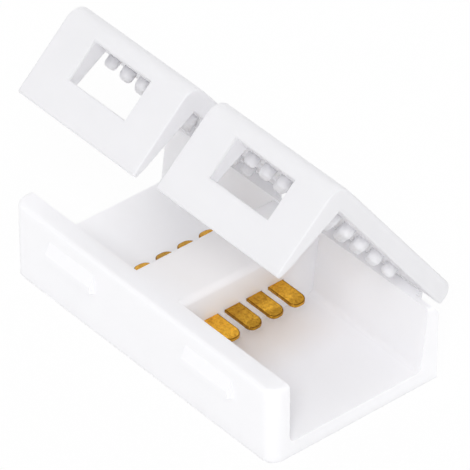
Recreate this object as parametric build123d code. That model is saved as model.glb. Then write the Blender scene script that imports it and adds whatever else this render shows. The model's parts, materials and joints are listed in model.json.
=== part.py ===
from build123d import *
import os

# A solderless clip that joins two four-pad LED strips end to end.
# X runs along the strips, -Y is the latch side, +Y is the hinge side and Z is up.
# The origin is the centre of the tray's underside. All sizes are in millimetres.

# Strip and channel
STRIP_WIDTH = 10.0
STRIP_SIDE_GAP = 0.4
CHANNEL_WIDTH = STRIP_WIDTH + 2 * STRIP_SIDE_GAP

# Tray
TRAY_LENGTH = 24.4
FLOOR_THICKNESS = 1.1
WALL_HEIGHT = 5.45
LATCH_WALL_THICKNESS = 1.4
HINGE_WALL_THICKNESS = 0.8
HINGE_WALL_DRAFT = 0.55
HINGE_WALL_RISE = 0.1
HINGE_WALL_BEVEL_ACROSS = 0.45
HINGE_WALL_BEVEL_DOWN = 0.6
CHANNEL_ROOT_RADIUS = 0.4
WALL_END_RADIUS = 0.3
TRAY_CORNER_RADIUS = 0.9
BRIDGE_LENGTH = 4.5
BRIDGE_EDGE_RADIUS = 0.45

# Latch pads on the latch wall
LATCH_PAD_LENGTH = 4.3
LATCH_PAD_BOTTOM = 2.95
LATCH_PAD_HEIGHT = 1.4
LATCH_PAD_DEPTH = 0.42
LATCH_PAD_LEDGE_RISE = 0.15

# Contact strips
CONTACT_COUNT = 4
CONTACT_PITCH = 1.7
CONTACT_ROW_SHIFT = -0.35
CONTACT_WIDTH = 1.2
CONTACT_THICKNESS = 0.22
CONTACT_LIFT = 2.2
FINGER_REACH = 2.35
TIP_LENGTH = 0.55
TIP_DROP = 0.12
TIP_CORNER_RADIUS = 0.5

# Lids, sized in their closed pose
LID_END_INSET = 0.25
LID_SPACING = 1.9
LID_THICKNESS = 1.3
LID_GAP = 0.12
LID_HEEL_OVERHANG = 0.375
HEEL_TOP_RADIUS = 0.9
FLAP_FOOT_GAP = 0.45
FLAP_WALL_GAP = 0.25
FLAP_ROOT_THICKNESS = 1.7
FLAP_TIP_THICKNESS = 0.4
FLAP_TAPER = 0.77
FLAP_FLARE = 0.37
FLAP_LEAD_IN_HEIGHT = 0.9
FOLD_RADIUS = 1.1
WINDOW_PAD_GAP = 0.45
WINDOW_LEDGE_GAP = 0.13
WINDOW_DROP = 1.42

# Grid of press studs under each lid
STUD_DIAMETER = 0.9
STUD_HEIGHT = 0.75
STUD_TAPER = 0.04
STUD_TIP_BEVEL = 0.2
STUD_SIDES = 12
STUD_PITCH_ALONG = 1.45
STUD_PITCH_ACROSS = 1.9
STUD_LATCH_GAP = 0.2
STUD_HINGE_GAP = 1.9
STUD_BRIDGE_GAP = 0.12
STUD_END_GAP = 0.3

# Living hinges
HINGE_INSET = 0.1
HINGE_DROP = 0.1
WEB_LID_GAP = 0.04
WEB_END_INSET = 1.3

# How far each lid stands open
NEAR_LID_ANGLE = 53.7
FAR_LID_ANGLE = 52.8

# Places that follow from the sizes
TRAY_WIDTH = LATCH_WALL_THICKNESS + CHANNEL_WIDTH + HINGE_WALL_THICKNESS
LATCH_FACE = -TRAY_WIDTH / 2
HINGE_FACE = TRAY_WIDTH / 2
CHANNEL_FRONT = LATCH_FACE + LATCH_WALL_THICKNESS
CHANNEL_BACK = HINGE_FACE - HINGE_WALL_THICKNESS
CHANNEL_FOOT_BACK = CHANNEL_BACK - HINGE_WALL_DRAFT
STRIP_CENTRE = (CHANNEL_FRONT + CHANNEL_FOOT_BACK) / 2
HINGE_WALL_HEIGHT = WALL_HEIGHT + HINGE_WALL_RISE
CONTACT_TOP = FLOOR_THICKNESS + CONTACT_LIFT
CONTACT_BOTTOM = CONTACT_TOP - CONTACT_THICKNESS
HINGE_Y = HINGE_FACE - HINGE_INSET
HINGE_Z = HINGE_WALL_HEIGHT - HINGE_DROP
WEB_BEAD_RADIUS = HINGE_DROP + LID_GAP - WEB_LID_GAP
LID_UNDERSIDE = HINGE_WALL_HEIGHT + LID_GAP
LID_TOP = LID_UNDERSIDE + LID_THICKNESS
LID_LENGTH = (TRAY_LENGTH - LID_SPACING) / 2 - LID_END_INSET
LID_CENTRE = (LID_SPACING + LID_LENGTH) / 2
HEEL_Y = HINGE_FACE + LID_HEEL_OVERHANG
FLAP_ROOT_INNER = LATCH_FACE - FLAP_WALL_GAP
FLAP_ROOT_OUTER = FLAP_ROOT_INNER - FLAP_ROOT_THICKNESS
FLAP_TIP_OUTER = FLAP_ROOT_OUTER + FLAP_TAPER
FLAP_TIP_INNER = FLAP_TIP_OUTER + FLAP_TIP_THICKNESS
LEAD_IN_Y = FLAP_ROOT_INNER - FLAP_FLARE
LEAD_IN_Z = FLAP_FOOT_GAP + FLAP_LEAD_IN_HEIGHT


def prism(points, length, x_centre=0.0):
    """A solid of the Y-Z outline in points, as long as length along X."""
    outline = make_face(Plane.YZ * Polyline(*points, close=True))
    return Pos(x_centre - length / 2, 0, 0) * extrude(outline, amount=length, dir=(1, 0, 0))


def block(low, high):
    """A box between two opposite corners."""
    size = [b - a for a, b in zip(low, high)]
    return Pos(*low) * Box(*size, align=(Align.MIN, Align.MIN, Align.MIN))


def edges_near(solid, axis, test):
    """The edges of a solid along one axis whose centre passes a test."""
    return solid.edges().filter_by(axis).filter_by(lambda edge: test(edge.center()))


def contact_centres():
    """The Y centre of each contact strip, from the latch side."""
    first = STRIP_CENTRE + CONTACT_ROW_SHIFT - CONTACT_PITCH * (CONTACT_COUNT - 1) / 2
    return [first + CONTACT_PITCH * i for i in range(CONTACT_COUNT)]


def channel():
    """Floor and walls as one U section, with its ends rounded."""
    section = [
        (LATCH_FACE, 0),
        (HINGE_FACE, 0),
        (HINGE_FACE, HINGE_WALL_HEIGHT - HINGE_WALL_BEVEL_DOWN),
        (HINGE_FACE - HINGE_WALL_BEVEL_ACROSS, HINGE_WALL_HEIGHT),
        (CHANNEL_BACK, HINGE_WALL_HEIGHT),
        (CHANNEL_FOOT_BACK, FLOOR_THICKNESS),
        (CHANNEL_FRONT, FLOOR_THICKNESS),
        (CHANNEL_FRONT, WALL_HEIGHT),
        (LATCH_FACE, WALL_HEIGHT),
    ]
    body = prism(section, TRAY_LENGTH)
    roots = edges_near(
        body,
        Axis.X,
        lambda c: abs(c.Z - FLOOR_THICKNESS) < 0.01 and CHANNEL_FRONT - 0.01 < c.Y < CHANNEL_BACK + 0.01,
    )
    body = fillet(roots, CHANNEL_ROOT_RADIUS)
    upright = edges_near(body, Axis.Z, lambda c: c.Y < LATCH_FACE + 0.01)
    body = fillet(upright, TRAY_CORNER_RADIUS)
    tops = edges_near(body, Axis.Y, lambda c: c.Z > WALL_HEIGHT - 0.01)
    return fillet(tops, WALL_END_RADIUS)


def bridge():
    """The block across the channel that the contact strips run through."""
    half = BRIDGE_LENGTH / 2
    body = block((-half, CHANNEL_FRONT, FLOOR_THICKNESS), (half, CHANNEL_BACK, WALL_HEIGHT))
    rims = edges_near(body, Axis.Y, lambda c: c.Z > WALL_HEIGHT - 0.01)
    return fillet(rims, BRIDGE_EDGE_RADIUS)


def latch_pad(x_centre):
    """A wedge on the latch wall: a long lead-in above, a short ledge below."""
    top = LATCH_PAD_BOTTOM + LATCH_PAD_HEIGHT
    crest = LATCH_PAD_BOTTOM + LATCH_PAD_LEDGE_RISE
    section = [
        (LATCH_FACE, LATCH_PAD_BOTTOM),
        (LATCH_FACE, top),
        (LATCH_FACE - LATCH_PAD_DEPTH, crest + LATCH_PAD_HEIGHT / 3),
        (LATCH_FACE - LATCH_PAD_DEPTH, crest),
    ]
    return prism(section, LATCH_PAD_LENGTH, x_centre)


def hinge_web(x_centre):
    """The plastic left between the hinge wall and a lid: a wedge with a bead on the hinge axis."""
    length = LID_LENGTH - 2 * WEB_END_INSET
    section = [
        (HINGE_FACE - HINGE_WALL_BEVEL_ACROSS, HINGE_WALL_HEIGHT),
        (HINGE_Y, HINGE_Z + WEB_BEAD_RADIUS),
        (HINGE_Y + WEB_BEAD_RADIUS, HINGE_Z),
        (HINGE_FACE, HINGE_WALL_HEIGHT - HINGE_WALL_BEVEL_DOWN),
    ]
    wedge = prism(section, length, x_centre)
    bead = Pos(x_centre, HINGE_Y, HINGE_Z) * Rot(0, 90, 0) * Cylinder(WEB_BEAD_RADIUS, length)
    return wedge + bead


def tray():
    """The tray moulding, with a slot through the bridge for each contact strip."""
    body = channel() + bridge()
    for side in (-1, 1):
        body += latch_pad(side * LID_CENTRE)
        body += hinge_web(side * LID_CENTRE)
    for y in contact_centres():
        low = (-BRIDGE_LENGTH, y - CONTACT_WIDTH / 2, CONTACT_BOTTOM)
        high = (BRIDGE_LENGTH, y + CONTACT_WIDTH / 2, CONTACT_TOP)
        body -= block(low, high)
    return body


def contact_strip(y_centre):
    """A flat strip with a finger at each end, its rounded tip bent down."""
    half = BRIDGE_LENGTH / 2 + FINGER_REACH
    bend = half - TIP_LENGTH
    section = [
        (-half, CONTACT_TOP - TIP_DROP),
        (-bend, CONTACT_TOP),
        (bend, CONTACT_TOP),
        (half, CONTACT_TOP - TIP_DROP),
        (half, CONTACT_BOTTOM - TIP_DROP),
        (bend, CONTACT_BOTTOM),
        (-bend, CONTACT_BOTTOM),
        (-half, CONTACT_BOTTOM - TIP_DROP),
    ]
    side = make_face(Plane.XZ * Polyline(*section, close=True))
    strip = Pos(0, y_centre + CONTACT_WIDTH / 2, 0) * extrude(side, amount=CONTACT_WIDTH, dir=(0, -1, 0))
    blank = Pos(0, y_centre, CONTACT_BOTTOM - TIP_DROP) * extrude(
        RectangleRounded(2 * half, CONTACT_WIDTH, TIP_CORNER_RADIUS), amount=2 * TIP_DROP + CONTACT_THICKNESS
    )
    return strip & blank


def lid_section():
    """The closed lid's Y-Z outline: plate, fold and tapered flap with a lead-in at its tip."""
    return [
        (HEEL_Y, LID_UNDERSIDE),
        (HEEL_Y, LID_TOP),
        (FLAP_ROOT_OUTER, LID_TOP),
        (FLAP_TIP_OUTER, FLAP_FOOT_GAP),
        (FLAP_TIP_INNER, FLAP_FOOT_GAP),
        (LEAD_IN_Y, LEAD_IN_Z),
        (FLAP_ROOT_INNER, LID_UNDERSIDE),
    ]


def copies_within(room, pitch):
    """How many studs at a pitch have their centres within a length."""
    return int(room / pitch + 0.001) + 1


def stud_grid(x_centre):
    """The centres of the studs: rows behind the latch wall, columns clear of the bridge and the end."""
    radius = STUD_DIAMETER / 2
    inner_room = LID_CENTRE - BRIDGE_LENGTH / 2 - STUD_BRIDGE_GAP - radius
    end_room = LID_LENGTH / 2 - STUD_END_GAP - radius
    columns = copies_within(2 * min(inner_room, end_room), STUD_PITCH_ALONG)
    rows = copies_within(CHANNEL_WIDTH - STUD_DIAMETER - STUD_LATCH_GAP - STUD_HINGE_GAP, STUD_PITCH_ACROSS)
    first_x = x_centre - STUD_PITCH_ALONG * (columns - 1) / 2
    first_y = CHANNEL_FRONT + STUD_LATCH_GAP + radius
    return [
        (first_x + STUD_PITCH_ALONG * column, first_y + STUD_PITCH_ACROSS * row)
        for column in range(columns)
        for row in range(rows)
    ]


def stud():
    """One tapered stud with its root at the origin, hanging down. Flat sides keep its faces few."""
    rings = [(0, 0), (STUD_TIP_BEVEL - STUD_HEIGHT, STUD_TAPER), (-STUD_HEIGHT, STUD_TAPER + STUD_TIP_BEVEL)]
    outlines = [
        Pos(0, 0, z) * RegularPolygon(STUD_DIAMETER / 2 - inset, STUD_SIDES)
        for z, inset in rings
    ]
    return loft(outlines, ruled=True)


def closed_lid(x_centre):
    """A lid in its closed pose, over one half of the tray."""
    body = prism(lid_section(), LID_LENGTH, x_centre)
    fold = edges_near(body, Axis.X, lambda c: c.Z > LID_TOP - 0.01 and c.Y < LATCH_FACE)
    body = fillet(fold, FOLD_RADIUS)
    heel = edges_near(body, Axis.X, lambda c: c.Z > LID_TOP - 0.01 and c.Y > HINGE_Y)
    body = fillet(heel, HEEL_TOP_RADIUS)
    half_window = LATCH_PAD_LENGTH / 2 + WINDOW_PAD_GAP
    body -= block(
        (x_centre - half_window, FLAP_ROOT_OUTER, LATCH_PAD_BOTTOM - WINDOW_LEDGE_GAP),
        (x_centre + half_window, LATCH_FACE, LID_TOP - WINDOW_DROP),
    )
    one_stud = stud()
    studs = [Pos(x, y, LID_UNDERSIDE) * one_stud for x, y in stud_grid(x_centre)]
    return body + studs


def open_lid(x_centre, angle):
    """A lid swung open about its hinge axis by an angle in degrees."""
    axis = Axis((0, HINGE_Y, HINGE_Z), (-1, 0, 0))
    return closed_lid(x_centre).rotate(axis, angle)


def save(shape, name):
    """Writes one solid to its own file, after checking that it is one valid solid."""
    solids = shape.solids()
    assert len(solids) == 1, f"{name} has {len(solids)} solids"
    assert solids[0].is_valid, f"{name} is not valid"
    export_step(solids[0], f"parts/{name}.step")


os.makedirs("parts", exist_ok=True)
save(tray(), "tray")
for number, y in enumerate(contact_centres(), start=1):
    save(contact_strip(y), f"contact_strip_{number}")
save(open_lid(LID_CENTRE, NEAR_LID_ANGLE), "near_lid")
save(open_lid(-LID_CENTRE, FAR_LID_ANGLE), "far_lid")
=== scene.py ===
"""Looks for a snap-lid LED strip connector: milky plastic, gold-plated contacts and a white stage."""
import json
import math

import bmesh
import bpy
from mathutils import Matrix, Vector


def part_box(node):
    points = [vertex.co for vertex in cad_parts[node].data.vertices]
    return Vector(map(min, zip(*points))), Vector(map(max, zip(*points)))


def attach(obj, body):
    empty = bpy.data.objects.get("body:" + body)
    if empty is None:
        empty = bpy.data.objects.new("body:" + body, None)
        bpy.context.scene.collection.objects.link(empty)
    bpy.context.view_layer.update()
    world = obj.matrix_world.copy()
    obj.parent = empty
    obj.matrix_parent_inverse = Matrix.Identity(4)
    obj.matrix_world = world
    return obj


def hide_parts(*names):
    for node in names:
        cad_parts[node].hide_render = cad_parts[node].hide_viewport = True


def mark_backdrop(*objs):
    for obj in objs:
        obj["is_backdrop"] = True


bl_info = {
    "name": "LED Strip Connector",
    "version": (1, 0, 0),
    "blender": (4, 5, 0),
    "location": "View3D > Sidebar > Strip Connector",
    "description": "Builds the looks of a hinged solderless LED strip connector",
    "category": "Object",
}

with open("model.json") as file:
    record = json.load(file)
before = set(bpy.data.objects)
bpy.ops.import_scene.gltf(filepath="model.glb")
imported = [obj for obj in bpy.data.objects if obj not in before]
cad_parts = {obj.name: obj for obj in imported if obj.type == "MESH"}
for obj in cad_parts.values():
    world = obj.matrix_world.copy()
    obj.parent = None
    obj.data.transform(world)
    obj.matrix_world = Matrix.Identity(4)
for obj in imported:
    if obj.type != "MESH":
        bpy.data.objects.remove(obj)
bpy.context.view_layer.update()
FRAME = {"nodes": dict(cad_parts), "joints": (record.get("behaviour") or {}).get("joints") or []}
NODES = FRAME["nodes"]
MM = 0.001
CONTACTS = sorted(name for name in NODES if name.startswith("contact_strip_"))
LIDS = ("near_lid", "far_lid")

# Places on the clip, with its lids closed
LATCH_FACE = -6.5 * MM
LID_UNDERSIDE = 5.67 * MM
LID_CENTRE = 6.45 * MM
PAD_HALF = 2.15 * MM
WINDOW_HALF = 2.6 * MM
TIP_CORNER = 0.5 * MM

# How the shapes are worked
SAME_POINT = 0.0005 * MM
ON_PLANE = 0.0002 * MM
HAIR = 0.01 * MM
FLAT_WITHIN = 0.5
CRISP_OVER = 16.0
ROUND_OVER = 26.0
STUD_SIDES = 28
STUD_TAPER = 0.94
STUD_ROOT = 0.1 * MM
STUD_TIP_SEGMENTS = 5

# The plastic: features per metre, and depths
FLOW_FEATURES = 210.0
GRAIN_FEATURES = 9000.0
RIPPLE_FEATURES = 900.0
SKIN_DEPTH = 0.02 * MM
MILK_SHARE = 0.25
MILK_DEPTH = 0.7 * MM
# How far the painted gold reflection and painted shade reach round the contacts
PAINTED_BOUNCE_REACH = 2.4 * MM

# The plating: a tone for each strip, features per metre, and depths
CONTACT_TONES = (1.06, 0.72, 0.83, 0.99)
ROLLED_FEATURES = 7000.0
SPECK_FEATURES = 4600.0
PLATING_DEPTH = 0.015 * MM
# Painted shade along the strips' edges: how wide it is and how dark
PAINTED_RIM_WIDTH = 0.09 * MM
PAINTED_RIM_SHARE = 0.85

# The stage: where the lamps stand, and how many degrees wide they look
KEY_LAMP = ((0.51, -0.5, 0.69), 20.0)
FRONT_LAMP = ((0.0, -0.98, 0.2), 50.0)
BACK_LAMP = ((-0.2, 0.5, 0.85), 50.0)
WHITE = (1.0, 1.0, 1.0, 1.0)
FLOOR_PAINT = (0.93, 0.93, 0.93, 1.0)
FLOOR_WHITE_SHARE = 0.92
FLOOR_HALF = 0.6
SENSOR_WIDTH = 36.0


class Socket:
    """A shader socket that can be used in Python sums, so that shader maths reads as maths."""

    def __init__(self, shader, socket):
        self.shader = shader
        self.socket = socket

    def _math(self, operation, *values):
        return self.shader.node("ShaderNodeMath", {"operation": operation}, list(values))

    def __add__(self, other):
        return self._math("ADD", self, other)

    def __radd__(self, other):
        return self._math("ADD", other, self)

    def __sub__(self, other):
        return self._math("SUBTRACT", self, other)

    def __rsub__(self, other):
        return self._math("SUBTRACT", other, self)

    def __mul__(self, other):
        return self._math("MULTIPLY", self, other)

    def __truediv__(self, other):
        return self._math("DIVIDE", self, other)

    def __pow__(self, other):
        return self._math("POWER", self, other)

    def size(self):
        """The value without its sign."""
        return self._math("ABSOLUTE", self)

    def at_least(self, least):
        """The value, or a least one where it is lower."""
        return self._math("MAXIMUM", self, least)

    def clamped(self):
        """The value held between 0 and 1."""
        return self._math("MINIMUM", self.at_least(0.0), 1.0)


class Shader:
    """A material's or a world's node tree, built one node at a time."""

    def __init__(self, owner):
        owner.use_nodes = True
        self.tree = owner.node_tree
        self.tree.nodes.clear()

    def node(self, kind, settings=None, values=(), output=0):
        """Adds a node, applies its settings, then fills its input sockets by index or name."""
        made = self.tree.nodes.new(kind)
        for key, value in (settings or {}).items():
            setattr(made, key, value)
        pairs = values.items() if isinstance(values, dict) else enumerate(values)
        for key, value in pairs:
            if isinstance(value, Socket):
                self.tree.links.new(value.socket, made.inputs[key])
            elif value is not None:
                made.inputs[key].default_value = value
        return Socket(self, made.outputs[output]) if made.outputs else made

    def coordinates(self, scale=(1.0, 1.0, 1.0)):
        """Object coordinates, scaled for one pattern."""
        place = self.node("ShaderNodeTexCoord", output="Object")
        return self.node("ShaderNodeMapping", {}, {"Vector": place, "Scale": scale})

    def noise(self, vector, scale, detail=2.0, roughness=0.5):
        """Noise from 0 to 1 at a number of features per metre."""
        return self.node(
            "ShaderNodeTexNoise",
            {},
            {"Vector": vector, "Scale": scale, "Detail": detail, "Roughness": roughness},
        )

    def mix_colour(self, factor, first, second):
        """A colour between two others."""
        made = self.tree.nodes.new("ShaderNodeMix")
        made.data_type = "RGBA"
        for index, value in ((0, factor), (6, first), (7, second)):
            if isinstance(value, Socket):
                self.tree.links.new(value.socket, made.inputs[index])
            elif index == 0:
                made.inputs[index].default_value = value
            else:
                made.inputs[index].default_value = (*value[:3], 1.0)
        return Socket(self, made.outputs[2])

    def surface(self, shader_socket):
        """Ends a material with its surface."""
        self.node("ShaderNodeOutputMaterial", {}, {"Surface": shader_socket})


class ClipPlasticSettings(bpy.types.PropertyGroup):
    """The moulded plastic and its soft edges."""

    edge_radius: bpy.props.FloatProperty(
        name="Edge radius", description="Radius of the soft outer edges", default=0.14 * MM,
        min=0.0, unit="LENGTH", precision=6,
    )
    stud_radius: bpy.props.FloatProperty(
        name="Stud tip radius", description="Radius of each stud's rounded tip", default=0.27 * MM,
        min=0.0, unit="LENGTH", precision=6,
    )
    colour: bpy.props.FloatVectorProperty(
        name="Plastic colour", description="Main colour of the milky plastic", subtype="COLOR",
        default=(0.978, 0.975, 1.0), min=0.0, max=1.0,
    )
    shade: bpy.props.FloatVectorProperty(
        name="Flow mark colour", description="Slightly darker colour of the flow marks", subtype="COLOR",
        default=(0.958, 0.955, 0.98), min=0.0, max=1.0,
    )
    # Painted gold reflection and painted shade: a warmer, darker colour for the plastic round the contacts
    gold_bounce_shade: bpy.props.FloatVectorProperty(
        name="Warm colour", description="Colour of the plastic where the contacts show through",
        subtype="COLOR", default=(0.945, 0.92, 0.92), min=0.0, max=1.0,
    )
    roughness: bpy.props.FloatProperty(
        name="Roughness", description="Mean roughness of the moulded skin", default=0.38, min=0.0, max=1.0,
        subtype="FACTOR",
    )
    passed: bpy.props.FloatProperty(
        name="Light passed", description="Share of the light that the thin lids let through", default=0.2,
        min=0.0, max=1.0, subtype="FACTOR",
    )


class ClipContactSettings(bpy.types.PropertyGroup):
    """The plated contact strips."""

    edge_radius: bpy.props.FloatProperty(
        name="Edge radius", description="Radius of the stamped strips' soft edges", default=0.05 * MM,
        min=0.0, unit="LENGTH", precision=6,
    )
    gold: bpy.props.FloatVectorProperty(
        name="Gold", description="Colour of clean plating", subtype="COLOR",
        default=(0.88, 0.475, 0.05), min=0.0, max=1.0,
    )
    tarnish: bpy.props.FloatVectorProperty(
        name="Tarnish", description="Colour of the dark grain in the plating", subtype="COLOR",
        default=(0.55, 0.25, 0.025), min=0.0, max=1.0,
    )
    # Painted shade: the dark colour painted along the strips' edges
    outline: bpy.props.FloatVectorProperty(
        name="Outline", description="Colour of the dark cut edges", subtype="COLOR",
        default=(0.2, 0.08, 0.01), min=0.0, max=1.0,
    )


class ClipStageSettings(bpy.types.PropertyGroup):
    """The floor, the lamps and the camera."""

    azimuth: bpy.props.FloatProperty(
        name="Azimuth", description="Camera direction round the clip", default=math.radians(50.03),
        subtype="ANGLE",
    )
    elevation: bpy.props.FloatProperty(
        name="Elevation", description="Camera height above the floor plane", default=math.radians(38.01),
        subtype="ANGLE",
    )
    distance: bpy.props.FloatProperty(
        name="Distance", description="From the camera to the point it looks at", default=363.7 * MM,
        unit="LENGTH",
    )
    lens: bpy.props.FloatProperty(
        name="Lens", description="Focal length of the camera", default=459.6, unit="CAMERA",
    )
    target: bpy.props.FloatVectorProperty(
        name="Target", description="The point in the middle of the picture", subtype="TRANSLATION",
        default=(-1.985 * MM, 2.589 * MM, 4.271 * MM), precision=6,
    )
    sky: bpy.props.FloatProperty(
        name="Sky", description="Brightness of the white surroundings", default=0.723, min=0.0,
    )
    key_light: bpy.props.FloatProperty(
        name="Key light", description="Strength of the soft lamp near the camera", default=1.0, min=0.0,
    )
    front_light: bpy.props.FloatProperty(
        name="Front light", description="Strength of the low soft lamp on the latch side", default=0.03,
        min=0.0,
    )
    back_light: bpy.props.FloatProperty(
        name="Back light", description="Strength of the soft lamp above the hinges", default=0.35, min=0.0,
    )


def settings():
    """The settings that the scene holds, one group per subject."""
    scene = bpy.context.scene
    return scene.clip_plastic, scene.clip_contact, scene.clip_stage


def plan_distance(shader, low, high, inset=0.0):
    """How far a point lies, in plan, from a box drawn in by an inset, and 0 over the box."""
    place = shader.node("ShaderNodeTexCoord", output="Object")
    squares = []
    for axis in (0, 1):
        along = shader.node("ShaderNodeSeparateXYZ", {}, {"Vector": place}, output=axis)
        half = (high[axis] - low[axis]) / 2 - inset
        past = ((along - (low[axis] + high[axis]) / 2).size() - half).at_least(0.0)
        squares.append(past * past)
    return (squares[0] + squares[1]) ** 0.5


def painted_gold_bounce_and_shade(shader):
    """How much painted gold reflection and painted shade tint the plastic round the contacts: 1 among them,
    0 further off.
    """
    corners = [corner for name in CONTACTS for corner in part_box(name)]
    low = [min(corner[axis] for corner in corners) for axis in range(2)]
    high = [max(corner[axis] for corner in corners) for axis in range(2)]
    return (1.0 - plan_distance(shader, low, high) / PAINTED_BOUNCE_REACH).clamped()


def milky_plastic(name, passed=0.0, painted_bounce_by_contacts=False):
    """Milky plastic: a cool white with faint flow marks and a fine grain, which passes some light."""
    plastic = settings()[0]
    material = bpy.data.materials.new(name)
    shader = Shader(material)
    flow = shader.noise(shader.coordinates((1.0, 2.2, 1.6)), FLOW_FEATURES, detail=3.0)
    grain = shader.noise(shader.coordinates(), GRAIN_FEATURES)
    ripple = shader.noise(shader.coordinates((0.6, 1.0, 1.0)), RIPPLE_FEATURES)
    colour = shader.mix_colour(((flow - 0.35) * 2.2).clamped(), plastic.colour, plastic.shade)
    # Painted gold reflection and painted shade: the plastic turns warmer and darker round the contacts
    if painted_bounce_by_contacts:
        colour = shader.mix_colour(painted_gold_bounce_and_shade(shader), colour, plastic.gold_bounce_shade)
    bump = shader.node(
        "ShaderNodeBump",
        {},
        {"Strength": 0.25, "Distance": SKIN_DEPTH, "Height": ripple * 0.7 + grain * 0.3},
    )
    skin = shader.node(
        "ShaderNodeBsdfPrincipled",
        {},
        {
            "Base Color": colour,
            "Roughness": plastic.roughness + (grain - 0.5) * 0.12,
            "IOR": 1.49,
            "Subsurface Weight": MILK_SHARE,
            "Subsurface Radius": (1.0, 1.0, 1.0),
            "Subsurface Scale": MILK_DEPTH,
            "Normal": bump,
        },
    )
    through = shader.node("ShaderNodeBsdfTranslucent", {}, {"Color": colour, "Normal": bump})
    shader.surface(shader.node("ShaderNodeMixShader", {}, [passed, skin, through]))
    return material


def plated_metal(name, strip, tone):
    """Gold plating on a stamped strip: grain along its length, darker specks, and painted shade along its
    edges, full on the top rim and weaker down the side walls.
    """
    contact = settings()[1]
    material = bpy.data.materials.new(name)
    shader = Shader(material)
    rolled = shader.noise(shader.coordinates((0.15, 1.0, 1.0)), ROLLED_FEATURES, detail=3.0)
    specks = shader.noise(shader.coordinates(), SPECK_FEATURES, detail=3.0, roughness=0.6)
    dark = ((specks - 0.42) * 2.8).clamped()
    low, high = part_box(strip)
    # Painted shade on the edges: dark on the top rim, lighter down the side walls
    inside = TIP_CORNER - plan_distance(shader, low, high, TIP_CORNER)
    rim_shade_at_edge = (2.0 - inside / (PAINTED_RIM_WIDTH * 0.5)).clamped()
    rim_shade_down_side = (0.35 + inside / (PAINTED_RIM_WIDTH * 0.3)).clamped()
    gold, tarnish = (
        [channel * tone for channel in colour] for colour in (contact.gold, contact.tarnish)
    )
    plating = shader.mix_colour(dark, gold, tarnish)
    bump = shader.node(
        "ShaderNodeBump",
        {},
        {"Strength": 0.35, "Distance": PLATING_DEPTH, "Height": rolled * 0.5 + specks * 0.5},
    )
    metal = shader.node(
        "ShaderNodeBsdfPrincipled",
        {},
        {
            "Base Color": shader.mix_colour(
                rim_shade_at_edge * rim_shade_down_side * PAINTED_RIM_SHARE, plating, contact.outline
            ),
            "Metallic": 1.0,
            "Roughness": 0.26 + dark * 0.2,
            "Normal": bump,
        },
    )
    shader.surface(metal)
    return material


def new_piece(name, mesh=None):
    """An empty mesh piece in the scene, at the origin."""
    piece = bpy.data.objects.new(name, mesh or bpy.data.meshes.new(name))
    bpy.context.scene.collection.objects.link(piece)
    return piece


def merged_form(node):
    """A CAD node's shape with its loose triangles merged."""
    form = bmesh.new()
    form.from_mesh(NODES[node].data)
    bmesh.ops.remove_doubles(form, verts=form.verts, dist=SAME_POINT)
    return form


def cut_across(form, axis, places):
    """Cuts a form along planes across an axis, so that no flat face has to run round a hole."""
    for place in places:
        point = Vector((0.0, 0.0, 0.0))
        point[axis] = place
        normal = Vector((0.0, 0.0, 0.0))
        normal[axis] = 1.0
        everything = list(form.verts) + list(form.edges) + list(form.faces)
        cut = bmesh.ops.bisect_plane(
            form, geom=everything, dist=ON_PLANE, plane_co=point, plane_no=normal
        )
        for part in cut["geom_cut"]:
            if isinstance(part, bmesh.types.BMEdge):
                part.seam = True


def join_flat_faces(form):
    """Joins the triangles of each flat face, up to the cuts across it."""
    bmesh.ops.dissolve_limit(
        form, angle_limit=math.radians(FLAT_WITHIN), verts=form.verts, edges=form.edges, delimit={"SEAM"}
    )


def meets_over(edge, degrees):
    """True where an edge's two faces meet at more than an angle."""
    return len(edge.link_faces) == 2 and edge.calc_face_angle(0.0) > math.radians(degrees)


def soften(piece, form, radius, segments=3, stays_crisp=None):
    """Rounds the outer edges with a live bevel, except those that stay crisp, and writes the piece."""
    weight = form.edges.layers.float.new("bevel_weight_edge")
    for edge in form.edges:
        edge.smooth = not meets_over(edge, CRISP_OVER)
        if edge.is_convex and meets_over(edge, ROUND_OVER) and not (stays_crisp and stays_crisp(edge)):
            edge[weight] = 1.0
    for face in form.faces:
        face.smooth = True
        face.material_index = 0
    form.to_mesh(piece.data)
    form.free()
    bevel = piece.modifiers.new("soft edges", "BEVEL")
    bevel.limit_method = "WEIGHT"
    bevel.width = radius
    bevel.segments = segments
    bevel.use_clamp_overlap = True
    bevel.harden_normals = True


def is_pad_edge(edge):
    """True for an edge of a latch pad, which stands out from the latch wall."""
    return min(vert.co.y for vert in edge.verts) < LATCH_FACE - HAIR


def closing_turn(lid):
    """The turn that takes a lid from where it stands to its closed pose."""
    hinge = next(joint for joint in FRAME["joints"] if joint["child"] == lid)
    pivot = Matrix.Translation(hinge["pos_m"])
    turn = Matrix.Rotation(math.radians(hinge["range_deg"][0]), 4, Vector(hinge["axis"]))
    return pivot @ turn @ pivot.inverted()


def is_stud_face(face):
    """True for the sides and the tip of a stud, in the closed pose."""
    centre = face.calc_center_median()
    return centre.z < LID_UNDERSIDE - HAIR and centre.y > LATCH_FACE


def face_groups(faces):
    """Faces that hang together, as a list of groups."""
    left = set(faces)
    groups = []
    while left:
        group = [left.pop()]
        for face in group:
            for edge in face.edges:
                for other in edge.link_faces:
                    if other in left:
                        left.remove(other)
                        group.append(other)
        groups.append(group)
    return groups


def take_off_studs(form):
    """Removes the studs from a closed lid's form, closes their roots and says where each one stood."""
    faces = [face for face in form.faces if is_stud_face(face)]
    places = []
    for group in face_groups(faces):
        corners = [vert.co for face in group for vert in face.verts]
        low = Vector([min(corner[i] for corner in corners) for i in range(3)])
        high = Vector([max(corner[i] for corner in corners) for i in range(3)])
        places.append((low, high))
    bmesh.ops.delete(form, geom=faces, context="FACES")
    rims = [edge for edge in form.edges if len(edge.link_faces) == 1]
    bmesh.ops.holes_fill(form, edges=rims, sides=0)
    return places


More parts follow.
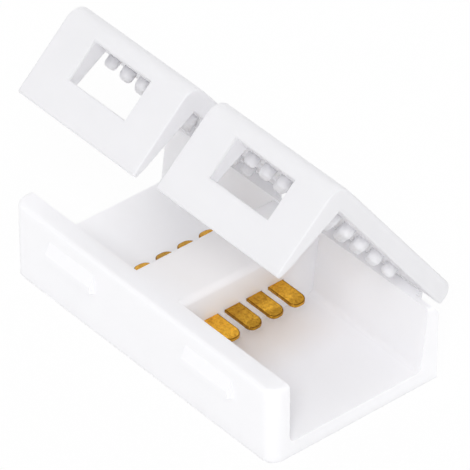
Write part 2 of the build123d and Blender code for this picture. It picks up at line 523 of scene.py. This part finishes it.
def round_stud(form, low, high, tip_radius):
    """A round stud between two corners, with a soft tip and its root sunk a little into the lid."""
    radius = (high.x - low.x) / 2
    depth = high.z - low.z + STUD_ROOT
    middle = ((low.x + high.x) / 2, (low.y + high.y) / 2, low.z + depth / 2)
    made = bmesh.ops.create_cone(
        form, cap_ends=True, segments=STUD_SIDES, radius1=radius * STUD_TAPER, radius2=radius,
        depth=depth, matrix=Matrix.Translation(middle),
    )
    tip = [
        edge for edge in {edge for vert in made["verts"] for edge in vert.link_edges}
        if all(vert.co.z < low.z + HAIR for vert in edge.verts)
    ]
    bmesh.ops.bevel(
        form, geom=tip, offset=tip_radius, segments=STUD_TIP_SEGMENTS, profile=0.5,
        affect="EDGES", material=-1,
    )


def finish_piece(piece, material, body, replaced=None):
    """Gives a piece its material, hangs it on the body it rides on, and hides the CAD node it replaces."""
    piece.data.materials.clear()
    piece.data.materials.append(material)
    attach(piece, body)
    if replaced:
        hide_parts(replaced)


class CLIP_OT_tray(bpy.types.Operator):
    """Gives the tray moulding its soft edges and its plastic"""

    bl_idname = "clip.tray"
    bl_label = "Tray"

    def execute(self, context):
        form = merged_form("tray")
        cut_across(form, 0, [side * (LID_CENTRE + end * PAD_HALF) for side in (-1, 1) for end in (-1, 1)])
        for name in CONTACTS:
            low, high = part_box(name)
            cut_across(form, 1, (low.y, high.y))
        join_flat_faces(form)
        piece = new_piece("tray_moulding")
        soften(piece, form, settings()[0].edge_radius, stays_crisp=is_pad_edge)
        finish_piece(piece, milky_plastic("tray_plastic", painted_bounce_by_contacts=True), "tray", "tray")
        return {"FINISHED"}


class CLIP_OT_lids(bpy.types.Operator):
    """Gives both lids their soft edges, round studs and plastic"""

    bl_idname = "clip.lids"
    bl_label = "Lids"

    def execute(self, context):
        plastic = settings()[0]
        skin = milky_plastic("lid_plastic", plastic.passed)
        for lid in LIDS:
            closing = closing_turn(lid)
            opening = closing.inverted()
            form = merged_form(lid)
            form.transform(closing)
            places = take_off_studs(form)
            middle = LID_CENTRE if lid == "near_lid" else -LID_CENTRE
            cut_across(form, 0, (middle - WINDOW_HALF, middle + WINDOW_HALF))
            join_flat_faces(form)
            form.transform(opening)
            piece = new_piece(lid + "_moulding")
            soften(piece, form, plastic.edge_radius)
            finish_piece(piece, skin, lid, lid)

            studs = bmesh.new()
            for low, high in places:
                round_stud(studs, low, high, plastic.stud_radius)
            for face in studs.faces:
                face.smooth = True
            studs.transform(opening)
            grid = new_piece(lid + "_studs")
            studs.to_mesh(grid.data)
            studs.free()
            finish_piece(grid, skin, lid)
        return {"FINISHED"}


class CLIP_OT_contacts(bpy.types.Operator):
    """Gives the contact strips their soft edges and their plating, each in a tone of its own"""

    bl_idname = "clip.contacts"
    bl_label = "Contacts"

    def execute(self, context):
        contact = settings()[1]
        for name, tone in zip(CONTACTS, CONTACT_TONES):
            form = merged_form(name)
            join_flat_faces(form)
            piece = new_piece(name + "_plated")
            soften(piece, form, contact.edge_radius, segments=2)
            finish_piece(piece, plated_metal(name + "_gold", name, tone), "tray", name)
        return {"FINISHED"}


def stage_floor(material):
    """A wide flat floor under the clip."""
    form = bmesh.new()
    bmesh.ops.create_grid(form, x_segments=1, y_segments=1, size=FLOOR_HALF)
    mesh = bpy.data.meshes.new("stage_floor")
    form.to_mesh(mesh)
    form.free()
    floor = bpy.data.objects.new("stage_floor", mesh)
    bpy.context.scene.collection.objects.link(floor)
    mesh.materials.append(material)
    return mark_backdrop(floor)


def white_for_the_camera(shader, lit, share):
    """Mixes plain white into what the camera and reflections see of a lit surface."""
    path = shader.tree.nodes.new("ShaderNodeLightPath")
    seen = Socket(shader, path.outputs["Is Camera Ray"])
    seen = seen + Socket(shader, path.outputs["Is Glossy Ray"])
    seen = seen + Socket(shader, path.outputs["Is Transmission Ray"])
    white = shader.node("ShaderNodeEmission", {}, {"Color": WHITE, "Strength": 1.0})
    return shader.node("ShaderNodeMixShader", {}, [seen.clamped() * share, lit, white])


def soft_lamp(name, strength, place):
    """A soft lamp that shines from a direction and looks some degrees wide."""
    direction, width = place
    lamp = bpy.data.lights.new(name, "SUN")
    lamp.energy = strength
    lamp.angle = math.radians(width)
    holder = bpy.data.objects.new(name, lamp)
    holder.rotation_euler = Vector(direction).to_track_quat("Z", "Y").to_euler()
    bpy.context.scene.collection.objects.link(holder)


class CLIP_OT_stage(bpy.types.Operator):
    """Builds the white floor, the soft lamps and the camera"""

    bl_idname = "clip.stage"
    bl_label = "Stage"

    def execute(self, context):
        stage = settings()[2]
        floor_material = bpy.data.materials.new("white_floor")
        shader = Shader(floor_material)
        paint = shader.node("ShaderNodeBsdfDiffuse", {}, {"Color": FLOOR_PAINT, "Roughness": 0.0})
        shader.surface(white_for_the_camera(shader, paint, FLOOR_WHITE_SHARE))
        stage_floor(floor_material)

        world = bpy.data.worlds.new("white_surroundings")
        context.scene.world = world
        sky = Shader(world)
        dim = sky.node("ShaderNodeBackground", {}, {"Color": WHITE, "Strength": stage.sky})
        path = sky.tree.nodes.new("ShaderNodeLightPath")
        bright = sky.node("ShaderNodeBackground", {}, {"Color": WHITE, "Strength": 1.0})
        both = sky.node("ShaderNodeMixShader", {}, [Socket(sky, path.outputs["Is Camera Ray"]), dim, bright])
        sky.node("ShaderNodeOutputWorld", {}, {"Surface": both})

        soft_lamp("key_lamp", stage.key_light, KEY_LAMP)
        soft_lamp("front_lamp", stage.front_light, FRONT_LAMP)
        soft_lamp("back_lamp", stage.back_light, BACK_LAMP)

        lens = bpy.data.cameras.new("photo_camera")
        lens.sensor_fit = "HORIZONTAL"
        lens.sensor_width = SENSOR_WIDTH
        lens.lens = stage.lens
        lens.clip_start = 0.01
        camera = bpy.data.objects.new("photo_camera", lens)
        back = Vector((
            math.sin(stage.azimuth) * math.cos(stage.elevation),
            -math.cos(stage.azimuth) * math.cos(stage.elevation),
            math.sin(stage.elevation),
        ))
        camera.location = Vector(stage.target) + back * stage.distance
        camera.rotation_euler = back.to_track_quat("Z", "Y").to_euler()
        context.scene.collection.objects.link(camera)
        context.scene.camera = camera
        context.scene.view_settings.view_transform = "Standard"
        return {"FINISHED"}


class CLIP_PT_panel(bpy.types.Panel):
    """Lists the pieces and their settings in the sidebar"""

    bl_idname = "CLIP_PT_panel"
    bl_label = "Strip Connector"
    bl_space_type = "VIEW_3D"
    bl_region_type = "UI"
    bl_category = "Strip Connector"

    def draw(self, context):
        for operator in OPERATORS:
            self.layout.operator(operator.bl_idname)
        for group in settings():
            for name in group.bl_rna.properties.keys():
                if name not in ("rna_type", "name"):
                    self.layout.prop(group, name)


GROUPS = {
    "clip_plastic": ClipPlasticSettings,
    "clip_contact": ClipContactSettings,
    "clip_stage": ClipStageSettings,
}
OPERATORS = (CLIP_OT_stage, CLIP_OT_tray, CLIP_OT_lids, CLIP_OT_contacts)


def register():
    """Registers the groups, the operators and the panel."""
    for name, group in GROUPS.items():
        bpy.utils.register_class(group)
        setattr(bpy.types.Scene, name, bpy.props.PointerProperty(type=group))
    for operator in OPERATORS:
        bpy.utils.register_class(operator)
    bpy.utils.register_class(CLIP_PT_panel)


def unregister():
    """Takes all of them out again."""
    bpy.utils.unregister_class(CLIP_PT_panel)
    for operator in reversed(OPERATORS):
        bpy.utils.unregister_class(operator)
    for name, group in GROUPS.items():
        delattr(bpy.types.Scene, name)
        bpy.utils.unregister_class(group)


def main():
    """Builds every piece in order."""
    register()
    bpy.ops.clip.stage()
    bpy.ops.clip.tray()
    bpy.ops.clip.lids()
    bpy.ops.clip.contacts()


if __name__ == "__main__":
    main()
